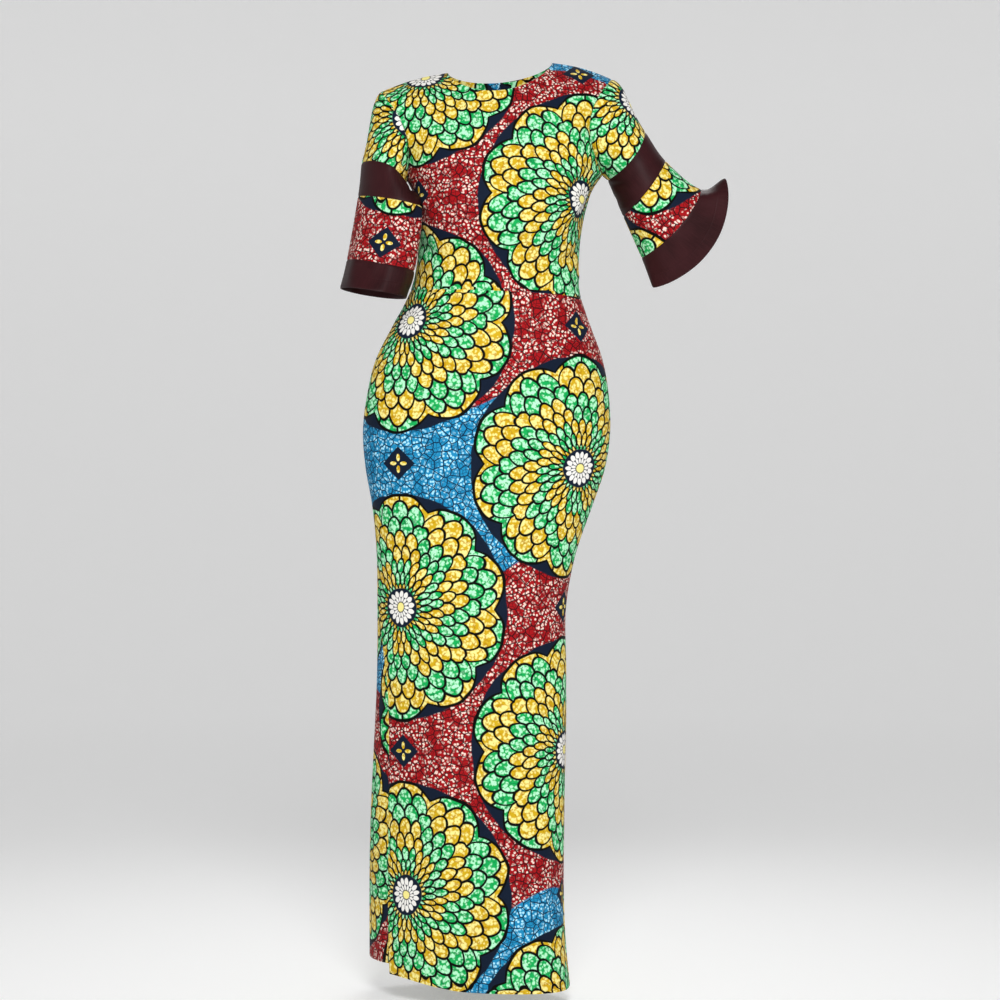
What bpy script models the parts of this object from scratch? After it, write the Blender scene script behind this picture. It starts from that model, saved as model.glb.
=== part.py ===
"""Ankara wax print dress: a fitted, floor-length dress, hollow, in the pose in which it is worn.

Metres, +Z up, +X to the wearer's left, the front facing -Y. The origin lies between the two shoulder
seams, at the height where the wearer's shoulders carry the dress. Every piece of cloth is a closed
wall cut from one common surface, so neighbours meet at their seams with a hairline between them.
"""

import math

import bpy
import numpy as np

WALL = 0.002
SEAM_GAP = 0.0003

# Grid of the body: columns round each half, rows down the bodice and the skirt.
HALF_COLUMNS = 20
SHOULDER_COLUMNS = 5
YOKE_ROWS = 10
BODICE_ROWS = 8
SKIRT_ROWS = 16
VENT_ROWS = 10

# The body below the armholes, as level sections. left and right are the edges seen from the front,
# front and back the depths, and the last two columns the squareness of each half (2 is an ellipse).
SECTION_COLUMNS = ("height", "left", "right", "front", "back", "front_square", "back_square")
SECTIONS = (
    (-0.150, -0.150, 0.166, 0.112, 0.100, 2.3, 2.2),
    (-0.178, -0.134, 0.147, 0.124, 0.102, 2.4, 2.2),
    (-0.205, -0.126, 0.138, 0.130, 0.100, 2.4, 2.2),
    (-0.237, -0.124, 0.131, 0.126, 0.094, 2.3, 2.2),
    (-0.290, -0.126, 0.126, 0.105, 0.086, 2.2, 2.2),
    (-0.335, -0.136, 0.127, 0.095, 0.088, 2.2, 2.2),
    (-0.386, -0.162, 0.143, 0.100, 0.102, 2.2, 2.2),
    (-0.442, -0.190, 0.163, 0.108, 0.120, 2.2, 2.3),
    (-0.500, -0.204, 0.173, 0.111, 0.131, 2.2, 2.4),
    (-0.552, -0.210, 0.175, 0.110, 0.133, 2.2, 2.4),
    (-0.610, -0.206, 0.167, 0.109, 0.128, 2.2, 2.4),
    (-0.667, -0.196, 0.148, 0.107, 0.118, 2.2, 2.3),
    (-0.741, -0.189, 0.122, 0.105, 0.108, 2.2, 2.2),
    (-0.816, -0.188, 0.107, 0.103, 0.102, 2.2, 2.2),
    (-0.930, -0.189, 0.106, 0.101, 0.098, 2.2, 2.2),
    (-1.060, -0.195, 0.104, 0.103, 0.101, 2.2, 2.2),
    (-1.150, -0.199, 0.103, 0.106, 0.105, 2.2, 2.2),
    (-1.360, -0.201, 0.105, 0.116, 0.118, 2.3, 2.2),
    (-1.410, -0.201, 0.111, 0.119, 0.121, 2.3, 2.2),
)
# How far the wearer's right side of the lower skirt lies back, per metre of width: the stance.
STANCE_TURN = ((-1.410, 0.35), (-1.150, 0.24), (-0.930, 0.10), (-0.741, 0.0), (-0.150, 0.0))

# Levels that cross the body: the height at x = 0 and the rise per metre towards the wearer's left.
CHEST_LEVEL = (-0.160, 0.030)
WAIST_LEVEL = (-0.341, -0.042)
VENT_TOP = -0.972
HEM = -1.408
# Height and angle of the seam down the wearer's right side. 0 is centre front, -90 the side.
RIGHT_SEAM = ((-1.408, -56.0), (-1.150, -61.0), (-0.972, -66.0), (-0.741, -90.0), (-0.150, -90.0))

# The vent: the front's edge lies over a strip cut in one with the back.
UNDERLAP_DEGREES = 13.0
UNDERLAP_COLUMNS = 2
UNDERLAP_STEP = WALL + 0.001
FRONT_CORNER_RISE = 0.016
BACK_CORNER_RISE = 0.031
CORNER_RISE_FROM = -0.05
CORNER_RISE_TO = -0.172
RISE_POWER = 3

# Neck: the two points where it meets the shoulder seams, and how far it drops and reaches.
NECK_RIGHT = np.array((-0.0794, 0.006, 0.0062))
NECK_LEFT = np.array((0.0857, 0.006, 0.0218))
NECK_FRONT_REACH = 0.074
NECK_FRONT_DROP = 0.045
NECK_BACK_REACH = 0.054
NECK_BACK_DROP = 0.016
NECK_DROP_POWER = 1.4
# How round the body is between the chest and the neck, and between the chest and the shoulders.
NECK_ROUND = 0.25
SHOULDER_ROUND = 0.75
ROUND_FADE = (0.4, 1.8)
SHOULDER_SEAM_RISE = 0.004

# Armholes: the shoulder end, the half depth each way, and how far the front and the back of the loop
# cut in towards the centre. Each loop's lowest point is where the chest level meets the side.
ARMHOLES = {
    "right": {
        "top": (-0.1838, 0.006, -0.0249),
        "front": 0.056,
        "back": 0.052,
        "front_cut": 0.020,
        "back_cut": 0.012,
    },
    "left": {
        "top": (0.1776, 0.006, -0.0047),
        "front": 0.054,
        "back": 0.052,
        "front_cut": 0.028,
        "back_cut": 0.014,
    },
}
SIDE_ANGLE = {"right": -90.0, "left": 90.0}
# How fast the armholes' hollows fade towards the centre, as a power of the distance across.
ARMHOLE_FADE = 2.2

# Sleeves, from the plain band above the elbow to the rim of the cuff. Each section has the outer and
# inner ends of its width as seen from the front, then its middle and half depth from front to back,
# lean, the share by which its front swings to the inner side, and how far the front and back of
# its edge hang past its two ends.
SLEEVE_COLUMNS = (
    "outer_x", "outer_z", "inner_x", "inner_z", "middle", "half_depth", "lean", "front_hang", "back_hang",
)
SLEEVES = {
    "right": (
        (-0.2118, -0.1371, -0.1430, -0.1760, -0.020, 0.056, 0.20, -0.014, 0.000),
        (-0.2173, -0.1900, -0.1200, -0.2090, -0.040, 0.058, 0.40, 0.000, 0.000),
        (-0.2336, -0.2897, -0.1293, -0.3099, -0.056, 0.070, 0.30, 0.000, 0.000),
        (-0.2437, -0.3341, -0.1402, -0.3512, -0.060, 0.083, 0.20, 0.000, 0.000),
    ),
    "left": (
        (0.2282, -0.0882, 0.1710, -0.1635, -0.008, 0.056, 0.00, 0.012, 0.004),
        (0.2604, -0.1341, 0.1947, -0.2196, -0.010, 0.056, 0.00, 0.007, 0.004),
        (0.3151, -0.1776, 0.2230, -0.2840, -0.012, 0.050, 0.00, 0.014, 0.006),
        (0.3523, -0.1603, 0.2406, -0.3304, -0.012, 0.034, 0.00, 0.043, 0.018),
    ),
}
# Each piece's first and last station, and its rows.
SLEEVE_PIECES = (("cap", 0, 1, 6), ("band", 1, 2, 3), ("lower", 2, 3, 5), ("cuff", 3, 4, 4))
# The sleeve head stands up at the shoulder end, most at a quarter of the way down to the band.
SHOULDER_PUFF = {"right": 0.005, "left": 0.007}
PUFF_PEAK = 0.25 * 0.75**3
SLEEVE_CLEARANCE = 0.004

# Corners flatter than this are shaded as smooth cloth, in degrees.
SHARP_ANGLE = 50.0
# Rounds of working out a height and an angle that depend on each other.
SETTLING_ROUNDS = 4
SEAM_DECIMALS = 4
TINY = 1e-12
# Name, colour and roughness of each cloth.
GREEN_PRINT = ("green print", (0.02, 0.42, 0.12), 0.75)
GOLD_PRINT = ("gold print", (0.83, 0.52, 0.03), 0.75)
RED_PRINT = ("red print", (0.45, 0.03, 0.03), 0.75)
BROWN_SATIN = ("brown satin", (0.045, 0.016, 0.018), 0.42)


def clear_scene():
    for item in list(bpy.data.objects):
        bpy.data.objects.remove(item)


def curve_through(table, column):
    """A smooth function through one column of a table, against its first column."""
    rows = sorted(table)
    places = np.array([row[0] for row in rows])
    values = np.array([row[column] for row in rows])
    slopes = np.gradient(values, places)

    def value(place):
        place = min(max(place, places[0]), places[-1])
        i = int(np.clip(np.searchsorted(places, place) - 1, 0, len(places) - 2))
        span = places[i + 1] - places[i]
        t = (place - places[i]) / span
        ease = t * t * (3 - 2 * t)
        pull = t * (1 - t) * span * ((1 - t) * slopes[i] - t * slopes[i + 1])
        return values[i] * (1 - ease) + values[i + 1] * ease + pull

    return value


SECTION = {name: curve_through(SECTIONS, i) for i, name in enumerate(SECTION_COLUMNS) if i}
TURN = curve_through(STANCE_TURN, 1)
RIGHT_SEAM_ANGLE = curve_through(RIGHT_SEAM, 1)


def smooth_step(value, start, end):
    t = min(max((value - start) / (end - start), 0.0), 1.0)
    return t * t * (3 - 2 * t)


def section_radius(angle, height):
    """Distance from the middle of a section to its edge. angle is in degrees from centre front."""
    half = (SECTION["right"](height) - SECTION["left"](height)) / 2
    across = math.sin(math.radians(angle))
    forward = math.cos(math.radians(angle))
    side = "front" if forward > 0 else "back"
    depth = SECTION[side](height)
    power = SECTION[side + "_square"](height)
    return ((abs(across) / half) ** power + (abs(forward) / depth) ** power) ** (-1 / power)


def body_point(angle, height):
    """A point of the dress's outer face below the armholes."""
    middle = (SECTION["right"](height) + SECTION["left"](height)) / 2
    radius = section_radius(angle, height)
    across = radius * math.sin(math.radians(angle))
    back = -radius * math.cos(math.radians(angle)) - TURN(height) * across
    return np.array((middle + across, back, height))


def level_height(level, angle):
    """Height at which a sloping level crosses the body at this angle."""
    height = level[0]
    for _ in range(SETTLING_ROUNDS):
        height = level[0] + level[1] * body_point(angle, height)[0]
    return height


def hem_rise(angle, corner_rise):
    """How far the hem rises towards the vent at this angle."""
    return corner_rise * smooth_step(body_point(angle, HEM)[0], CORNER_RISE_FROM, CORNER_RISE_TO)


def blend(first, second, share):
    return first * (1 - share) + second * share


def armpit_point(side):
    """The lowest point of the armhole, where the chest level meets the side."""
    angle = SIDE_ANGLE[side]
    return body_point(angle, level_height(CHEST_LEVEL, angle))


def armhole_point(side, angle):
    """A point of the armhole's loop: 0 at the shoulder, 90 at the front, 180 at the armpit."""
    hole = ARMHOLES[side]
    up, forward = math.cos(math.radians(angle)), math.sin(math.radians(angle))
    point = blend(armpit_point(side), np.array(hole["top"]), (1 + up) / 2)
    face = "front" if forward > 0 else "back"
    point[1] -= hole[face] * forward
    point[0] -= math.copysign(hole[face + "_cut"], point[0]) * forward**2
    return point


def neck_point(share, front):
    """A point of the neckline's front or back, from the wearer's right to left."""
    reach, drop = (NECK_FRONT_REACH, NECK_FRONT_DROP) if front else (-NECK_BACK_REACH, NECK_BACK_DROP)
    point = blend(NECK_RIGHT, NECK_LEFT, (1 - math.cos(math.pi * share)) / 2)
    outward = math.sin(math.pi * share)
    point[1] -= reach * outward
    point[2] -= drop * outward**NECK_DROP_POWER
    return point


def yoke_top(column, front):
    """The top edge of the front or back: shoulder seam, neckline and shoulder seam."""
    last = HALF_COLUMNS - SHOULDER_COLUMNS
    if SHOULDER_COLUMNS <= column <= last:
        return neck_point((column - SHOULDER_COLUMNS) / (last - SHOULDER_COLUMNS), front)
    side, neck = ("right", NECK_RIGHT) if column < SHOULDER_COLUMNS else ("left", NECK_LEFT)
    share = min(column, HALF_COLUMNS - column) / SHOULDER_COLUMNS
    point = blend(np.array(ARMHOLES[side]["top"]), neck, share)
    point[2] += SHOULDER_SEAM_RISE * math.sin(math.pi * share)
    return point


def rise(start, end, share, roundness):
    """A point on the way from start up to end, from a straight line (0) to a quarter round (1)."""
    turn = math.radians(90 * share)
    arc = blend(start, end, share)
    arc[1] = start[1] + (end[1] - start[1]) * (1 - math.cos(turn))
    arc[2] = start[2] + (end[2] - start[2]) * math.sin(turn)
    return blend(blend(start, end, share), arc, roundness)


def half_angle(column, front):
    """Angle of a column of the bodice, from the wearer's right side to the left."""
    angle = blend(SIDE_ANGLE["right"], SIDE_ANGLE["left"], column / HALF_COLUMNS)
    return angle if front else 180 - angle


def yoke_point(column, row, front):
    """A point between the chest level and the top edge, on the front or the back."""
    share = row / YOKE_ROWS
    angle = half_angle(column, front)
    chest = body_point(angle, level_height(CHEST_LEVEL, angle))
    from_edge = min(column, HALF_COLUMNS - column) / SHOULDER_COLUMNS
    roundness = blend(SHOULDER_ROUND, NECK_ROUND, smooth_step(from_edge, *ROUND_FADE))
    point = rise(chest, yoke_top(column, front), share, roundness)
    for side, columns_away in (("right", column), ("left", HALF_COLUMNS - column)):
        loop = armhole_point(side, 180 * (1 - share) if front else 180 * (1 + share))
        plain = rise(armpit_point(side), np.array(ARMHOLES[side]["top"]), share, roundness)
        point = point + (loop - plain) * max(1 - 2 * columns_away / HALF_COLUMNS, 0.0) ** ARMHOLE_FADE
    return point


def bodice_point(column, row, front):
    """A point of the bodice. Rows run up from the waist seam, columns from the wearer's right."""
    if row > BODICE_ROWS:
        return yoke_point(column, row - BODICE_ROWS, front)
    angle = half_angle(column, front)
    bottom, top = level_height(WAIST_LEVEL, angle), level_height(CHEST_LEVEL, angle)
    return body_point(angle, blend(bottom, top, row / BODICE_ROWS))


def bodice_grid(front, first, last):
    rows = range(BODICE_ROWS + YOKE_ROWS + 1)
    columns = range(first, last + 1)
    return np.array([[bodice_point(column, row, front) for column in columns] for row in rows])


def skirt_angle(half, share, height):
    """Angle of a line down the skirt, at a share of the way across the front or a back half."""
    seam = RIGHT_SEAM_ANGLE(height)
    starts = {"front": seam, "back_left": SIDE_ANGLE["left"], "back_right": -180.0}
    ends = {"front": SIDE_ANGLE["left"], "back_left": 180.0, "back_right": seam}
    return blend(starts[half], ends[half], share)


def skirt_place(half, share, row):
    """Angle and height of a point of the skirt. Rows run down from the waist seam to the hem."""
    corner_rise = FRONT_CORNER_RISE if half == "front" else BACK_CORNER_RISE
    height = VENT_TOP
    for _ in range(SETTLING_ROUNDS):
        angle = skirt_angle(half, share, height)
        if row < SKIRT_ROWS:
            height = blend(level_height(WAIST_LEVEL, angle), VENT_TOP, row / SKIRT_ROWS)
        else:
            way = (row - SKIRT_ROWS) / VENT_ROWS
            height = blend(VENT_TOP, HEM, way) + hem_rise(angle, corner_rise) * way**RISE_POWER
    return angle, height


def skirt_point(half, column, columns, row):
    """A point of the skirt. Columns past the last make the strip that lies under the front's edge."""
    angle, height = skirt_place(half, min(column / columns, 1.0), row)
    return body_point(angle + UNDERLAP_DEGREES * max(column - columns, 0) / UNDERLAP_COLUMNS, height)


def skirt_grid(half, columns, more_columns=0):
    rows = range(SKIRT_ROWS + VENT_ROWS + 1)
    every = range(columns + more_columns + 1)
    return np.array([[skirt_point(half, column, columns, row) for column in every] for row in rows])


def sleeve_section(side, station):
    """A sleeve's section, from station 1, the band's top, to 4, the rim: its middle and three arms."""
    rows = [(i + 1.0,) + row for i, row in enumerate(SLEEVES[side])]
    value = {name: curve_through(rows, i + 1)(station) for i, name in enumerate(SLEEVE_COLUMNS)}
    outer = np.array((value["outer_x"], value["middle"], value["outer_z"]))
    inner = np.array((value["inner_x"], value["middle"], value["inner_z"]))
    width = (outer - inner) / 2
    along = np.cross(width, (0.0, 1.0, 0.0))
    along *= -math.copysign(1.0, along[2]) / np.linalg.norm(along)
    lean = value["lean"]
    depth = -width * lean - np.array((0.0, value["half_depth"], 0.0))
    depth += along * (value["front_hang"] - value["back_hang"]) / 2
    hang = along * (value["front_hang"] + value["back_hang"]) / 2
    return (outer + inner) / 2, width * math.sqrt(1 - lean**2), depth, hang


def sleeve_point(side, angle, station):
    """A point of a sleeve. Station 0 is the armhole, and the angle runs round as on the armhole."""
    across, forward = math.cos(math.radians(angle)), math.sin(math.radians(angle))
    middle, width, depth, hang = sleeve_section(side, max(station, 1))
    point = middle + width * across + depth * forward + hang * forward**2
    if station < 1:
        point = blend(armhole_point(side, angle), point, station)
        puff = SHOULDER_PUFF[side] * station * (1 - station) ** 3 / PUFF_PEAK * max(across, 0.0)
        point = point + width / np.linalg.norm(width) * puff
    return clear_of_body(point)


def clear_of_body(point):
    """Holds a sleeve's point off the side of the body, as the arm inside does."""
    height = point[2]
    if height > CHEST_LEVEL[0] - SLEEVE_CLEARANCE:
        return point
    middle = (SECTION["right"](height) + SECTION["left"](height)) / 2
    across, back = point[0] - middle, point[1]
    radius = section_radius(math.degrees(math.atan2(across, -back)), height) + SLEEVE_CLEARANCE
    push = max(radius / math.hypot(across, back), 1.0)
    return np.array((middle + across * push, back * push, height))


def sleeve_grid(side, start, end, rows):
    """Rows from the armhole's end to the cuff's, columns round the sleeve."""
    columns = 2 * YOKE_ROWS
    stations = [blend(start, end, row / rows) for row in range(rows + 1)]
    angles = [360 * column / columns for column in range(columns)]
    return np.array([[sleeve_point(side, angle, station) for angle in angles] for station in stations])


class Panel:
    """One piece of cloth, as a grid of points on the dress's outer face."""

    def __init__(self, name, look, grid, closed=False, turned=False, cells=None):
        self.name, self.look, self.grid = name, look, grid
        rows, columns = grid.shape[:2]
        self.quads = []
        for row in range(rows - 1):
            for column in range(columns if closed else columns - 1):
                beside = (column + 1) % columns
                quad = [(row, column), (row, beside), (row + 1, beside), (row + 1, column)]
                if cells is None or cells(row, column):
                    self.quads.append(quad[::-1] if turned else quad)

    def normals(self):
        """The area-weighted normal at each point, as the faces beside it give it."""
        found = np.zeros_like(self.grid)
        for quad in self.quads:
            a, b, c, d = (self.grid[place] for place in quad)
            for place in quad:
                found[place] += np.cross(c - a, d - b)
        return found

    def rim(self):
        """The edges that only one face uses, each with the way into that face."""
        edges = {}
        for quad in self.quads:
            centre = sum(self.grid[place] for place in quad) / 4
            for first, second in zip(quad, quad[1:] + quad[:1]):
                if (second, first) in edges:
                    del edges[second, first]
                    continue
                along = self.grid[second] - self.grid[first]
                into = centre - self.grid[first]
                into = into - along * (into @ along) / (along @ along)
                edges[first, second] = into / np.linalg.norm(into)
        return edges


def seam_key(point):
    return tuple(np.round(point, SEAM_DECIMALS) + 0.0)


def shared_normals(panels):
    """The normals at each point, summed over the pieces that meet there, so their edges match."""
    totals = {}
    for panel in panels:
        for point, normal in zip(panel.grid.reshape(-1, 3), panel.normals().reshape(-1, 3)):
            share = normal / max(np.linalg.norm(normal), TINY)
            totals[seam_key(point)] = totals.get(seam_key(point), 0) + share
    return totals


def wall_points(panel, totals):
    """Outer and inner points of a panel's wall, drawn in by half a seam's gap along its rim."""
    ways_in = {}
    for ends, into in panel.rim().items():
        for place in ends:
            ways_in.setdefault(place, []).append(into)
    places = sorted({place for quad in panel.quads for place in quad})
    outer, inner = [], []
    for place in places:
        point = panel.grid[place]
        normal = totals[seam_key(point)]
        if place in ways_in:
            first, second = ways_in[place]
            point = point + SEAM_GAP / 2 * (first + second) / (1 + first @ second)
        outer.append(point)
        inner.append(point - WALL * normal / np.linalg.norm(normal))
    return places, np.array(outer), np.array(inner)


def wall_faces(panel, places):
    """Triangles of the outer face, the inner face and the rim between them."""
    index = {place: i for i, place in enumerate(places)}
    inside = len(places)
    faces = []
    for quad in panel.quads:
        a, b, c, d = (index[place] for place in quad)
        faces += [(a, b, c), (a, c, d)]
        faces += [(c + inside, b + inside, a + inside), (d + inside, c + inside, a + inside)]
    for first, second in panel.rim():
        a, b = index[first], index[second]
        # Neighbours cut a seam's twisted edge along the same diagonal.
        if seam_key(panel.grid[first]) < seam_key(panel.grid[second]):
            faces += [(b, a, a + inside), (b, a + inside, b + inside)]
        else:
            faces += [(b, a, b + inside), (a, a + inside, b + inside)]
    return faces


def material_of(look):
    name, colour, roughness = look
    material = bpy.data.materials.get(name) or bpy.data.materials.new(name)
    material.use_nodes = True
    shader = material.node_tree.nodes["Principled BSDF"]
    shader.inputs["Base Color"].default_value = (*colour, 1.0)
    shader.inputs["Roughness"].default_value = roughness
    shader.inputs["Metallic"].default_value = 0.0
    return material


def build_cloth(panel, totals, parent):
    """Makes a panel an object: a closed wall of cloth with its origin at its middle."""
    places, outer, inner = wall_points(panel, totals)
    centre = (outer.min(axis=0) + outer.max(axis=0)) / 2
    mesh = bpy.data.meshes.new(panel.name)
    mesh.from_pydata(np.concatenate([outer, inner]) - centre, [], wall_faces(panel, places))
    mesh.shade_smooth()
    mesh.set_sharp_from_angle(angle=math.radians(SHARP_ANGLE))
    mesh.materials.append(material_of(panel.look))
    cloth = bpy.data.objects.new(panel.name, mesh)
    cloth.location = centre
    cloth.parent = parent
    bpy.context.scene.collection.objects.link(cloth)


def bodice_panels():
    middle = HALF_COLUMNS // 2
    return [
        Panel("front_bodice", GREEN_PRINT, bodice_grid(True, 0, HALF_COLUMNS)),
        Panel("back_bodice_right", GOLD_PRINT, bodice_grid(False, 0, middle), turned=True),
        Panel("back_bodice_left", GREEN_PRINT, bodice_grid(False, middle, HALF_COLUMNS), turned=True),
    ]


def sink_underlap(panel, edge):
    """Moves the strip below the vent's top, from this column on, in under the front's edge."""
    normals = panel.normals()[SKIRT_ROWS + 1 :, edge:]
    outward = normals / np.linalg.norm(normals, axis=2, keepdims=True)
    panel.grid[SKIRT_ROWS + 1 :, edge:] -= UNDERLAP_STEP * outward


def skirt_panels():
    half = HALF_COLUMNS // 2

    def in_back_right(row, column):
        return column < half or row > SKIRT_ROWS

    right_grid = skirt_grid("back_right", half, UNDERLAP_COLUMNS)
    right = Panel("back_skirt_right", GREEN_PRINT, right_grid, turned=True, cells=in_back_right)
    sink_underlap(right, half)
    return [
        Panel("front_skirt", GOLD_PRINT, skirt_grid("front", HALF_COLUMNS), turned=True),
        Panel("back_skirt_left", GOLD_PRINT, skirt_grid("back_left", half), turned=True),
        right,
    ]


def sleeve_panels(side):
    looks = {"cap": GREEN_PRINT, "band": BROWN_SATIN, "lower": RED_PRINT, "cuff": BROWN_SATIN}
    return [
        Panel(
            f"sleeve_{side}_{piece}",
            looks[piece],
            sleeve_grid(side, start, end, rows),
            closed=True,
            turned=side == "right",
        )
        for piece, start, end, rows in SLEEVE_PIECES
    ]


def main():
    clear_scene()
    dress = bpy.data.objects.new("dress", None)
    bpy.context.scene.collection.objects.link(dress)
    panels = bodice_panels() + skirt_panels() + sleeve_panels("right") + sleeve_panels("left")
    totals = shared_normals(panels)
    for panel in panels:
        build_cloth(panel, totals, dress)


main()
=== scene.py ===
"""Ankara wax print dress, hollow, as worn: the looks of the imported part, in a plain studio.

Metres, +Z up, +X to the wearer's left, the front facing -Y. Each piece of cloth is a thin shell on the
surface that its solid was cut from, with soft creases, sewn seams and turned hems.
"""

import math

import bpy
import numpy as np
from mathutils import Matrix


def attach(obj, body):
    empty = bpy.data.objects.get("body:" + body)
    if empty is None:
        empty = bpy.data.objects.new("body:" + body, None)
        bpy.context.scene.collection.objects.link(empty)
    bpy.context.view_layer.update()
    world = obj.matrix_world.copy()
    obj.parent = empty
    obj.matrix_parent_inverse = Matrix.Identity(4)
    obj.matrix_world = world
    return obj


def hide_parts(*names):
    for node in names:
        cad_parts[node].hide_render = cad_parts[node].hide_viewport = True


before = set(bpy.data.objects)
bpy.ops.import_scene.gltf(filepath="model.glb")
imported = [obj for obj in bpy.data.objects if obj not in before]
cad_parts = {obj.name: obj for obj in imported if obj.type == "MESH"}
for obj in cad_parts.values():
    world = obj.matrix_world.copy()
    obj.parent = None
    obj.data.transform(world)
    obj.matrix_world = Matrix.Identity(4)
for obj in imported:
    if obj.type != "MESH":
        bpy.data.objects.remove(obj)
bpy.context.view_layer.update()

# ---- The dress's surface, from the same sections as the part's solids ----

# Grids: columns over half a round, from the wearer's right to the left, and rows along the cloth.
HALF_COLUMNS = 20
SHOULDER_COLUMNS = 5
LAST_NECK_COLUMN = HALF_COLUMNS - SHOULDER_COLUMNS
YOKE_ROWS = 10
BODICE_ROWS = 8
SKIRT_ROWS = 16
VENT_ROWS = 10

# Level sections: x of the right and left side, how far each reaches to the front and back, and how square
# the two halves are, where an ellipse has 2.
SECTION_COLUMNS = ("height", "right", "left", "front", "back", "front_square", "back_square")
SECTIONS = (
    (-0.150, -0.150, 0.166, 0.112, 0.100, 2.3, 2.2),
    (-0.178, -0.134, 0.147, 0.124, 0.102, 2.4, 2.2),
    (-0.205, -0.126, 0.138, 0.130, 0.100, 2.4, 2.2),
    (-0.237, -0.124, 0.131, 0.126, 0.094, 2.3, 2.2),
    (-0.290, -0.126, 0.126, 0.105, 0.086, 2.2, 2.2),
    (-0.335, -0.136, 0.127, 0.095, 0.088, 2.2, 2.2),
    (-0.386, -0.162, 0.143, 0.100, 0.102, 2.2, 2.2),
    (-0.442, -0.190, 0.163, 0.108, 0.120, 2.2, 2.3),
    (-0.500, -0.204, 0.173, 0.111, 0.131, 2.2, 2.4),
    (-0.552, -0.210, 0.175, 0.110, 0.133, 2.2, 2.4),
    (-0.610, -0.206, 0.167, 0.109, 0.128, 2.2, 2.4),
    (-0.667, -0.196, 0.148, 0.107, 0.118, 2.2, 2.3),
    (-0.741, -0.189, 0.122, 0.105, 0.108, 2.2, 2.2),
    (-0.816, -0.188, 0.107, 0.103, 0.102, 2.2, 2.2),
    (-0.930, -0.189, 0.106, 0.101, 0.098, 2.2, 2.2),
    (-1.060, -0.195, 0.104, 0.103, 0.101, 2.2, 2.2),
    (-1.150, -0.199, 0.103, 0.106, 0.105, 2.2, 2.2),
    (-1.360, -0.201, 0.105, 0.116, 0.118, 2.3, 2.2),
    (-1.410, -0.201, 0.111, 0.119, 0.121, 2.3, 2.2),
)
# Height, and how far forward the body turns for each metre to the left.
STANCE_TURN = ((-1.410, 0.35), (-1.150, 0.24), (-0.930, 0.10), (-0.741, 0.0), (-0.150, 0.0))
# Height at x 0, and the rise for each metre to the left.
CHEST_LEVEL = (-0.160, 0.030)
WAIST_LEVEL = (-0.341, -0.042)
VENT_TOP = -0.972
HEM = -1.408
# Height and angle of the seam on the right side, which comes forward below and opens as the vent.
RIGHT_SEAM = ((-1.408, -56.0), (-1.150, -61.0), (-0.972, -66.0), (-0.741, -90.0), (-0.150, -90.0))
UNDERLAP_DEGREES = 13.0
UNDERLAP_COLUMNS = 2
UNDERLAP_STEP = 0.003
# In rows and columns: where it begins below the vent's top, and where it sinks behind the front.
UNDERLAP_START = 0.2
UNDERLAP_SINK_ROWS = 0.5
UNDERLAP_SINK_COLUMNS = (0.7, 0.08)
# The hem rises towards the vent's corners.
FRONT_CORNER_RISE = 0.016
BACK_CORNER_RISE = 0.031
CORNER_RISE_SPAN = (-0.05, -0.172)
RISE_POWER = 3
NECK_RIGHT = np.array((-0.0794, 0.006, 0.0062))
NECK_LEFT = np.array((0.0857, 0.006, 0.0218))
# How far the neck reaches forward, and how far it drops.
NECK_FRONT = (0.074, 0.045)
NECK_BACK = (-0.054, 0.016)
NECK_DROP_POWER = 1.4
# How round the cloth rises to each from the chest, and where the change falls, in shoulder widths.
SHOULDER_ROUND = 0.75
NECK_ROUND = 0.25
ROUND_FADE = (0.4, 1.8)
SHOULDER_SEAM_RISE = 0.004
# Reach and inward cut of each armhole's front and back.
ARMHOLES = {
    "right": {"front": (0.056, 0.020), "back": (0.052, 0.012)},
    "left": {"front": (0.054, 0.028), "back": (0.052, 0.014)},
}
ARMHOLE_TOP = {
    "right": np.array((-0.1838, 0.006, -0.0249)),
    "left": np.array((0.1776, 0.006, -0.0047)),
}
SIDE_ANGLE = {"right": -90.0, "left": 90.0}
ARMHOLE_FADE = 2.2
# Sections of the sleeves at stations 1 to 4. Station 0 is the armhole.
SLEEVE_COLUMNS = (
    "outer_x", "outer_z", "inner_x", "inner_z", "middle", "half_depth", "lean", "front_hang", "back_hang",
)
SLEEVES = {
    "right": (
        (-0.2118, -0.1371, -0.143, -0.176, -0.02, 0.056, 0.2, -0.014, 0),
        (-0.2173, -0.19, -0.12, -0.209, -0.04, 0.058, 0.4, 0, 0),
        (-0.2336, -0.2897, -0.1293, -0.3099, -0.056, 0.07, 0.3, 0, 0),
        (-0.2437, -0.3341, -0.1402, -0.3512, -0.06, 0.083, 0.2, 0, 0),
    ),
    "left": (
        (0.2282, -0.0882, 0.171, -0.1635, -0.008, 0.056, 0, 0.012, 0.004),
        (0.2604, -0.1341, 0.1947, -0.2196, -0.01, 0.056, 0, 0.007, 0.004),
        (0.3151, -0.1776, 0.223, -0.284, -0.012, 0.05, 0, 0.014, 0.006),
        (0.3523, -0.1603, 0.2406, -0.3304, -0.012, 0.034, 0, 0.043, 0.018),
    ),
}
# Each piece's name, first and last station, rows and slot.
SLEEVE_PIECES = (
    ("cap", 0, 1, 6, "wax_print"),
    ("band", 1, 2, 3, "brown_satin"),
    ("lower", 2, 3, 5, "wax_print"),
    ("cuff", 3, 4, 4, "brown_satin"),
)
SHOULDER_PUFF = {"right": 0.005, "left": 0.007}
# The most of s * (1 - s)**3.
PUFF_PEAK = 0.25 * 0.75**3
SLEEVE_CLEARANCE = 0.004
SETTLING_ROUNDS = 4

# ---- Cloth: its thickness, its sewn edges and the fineness of the shells ----

CLOTH = 0.0010
HEM_CLOTH = 0.0019
HEM_DEPTH = 0.020
HEM_STEP = 0.002
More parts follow.
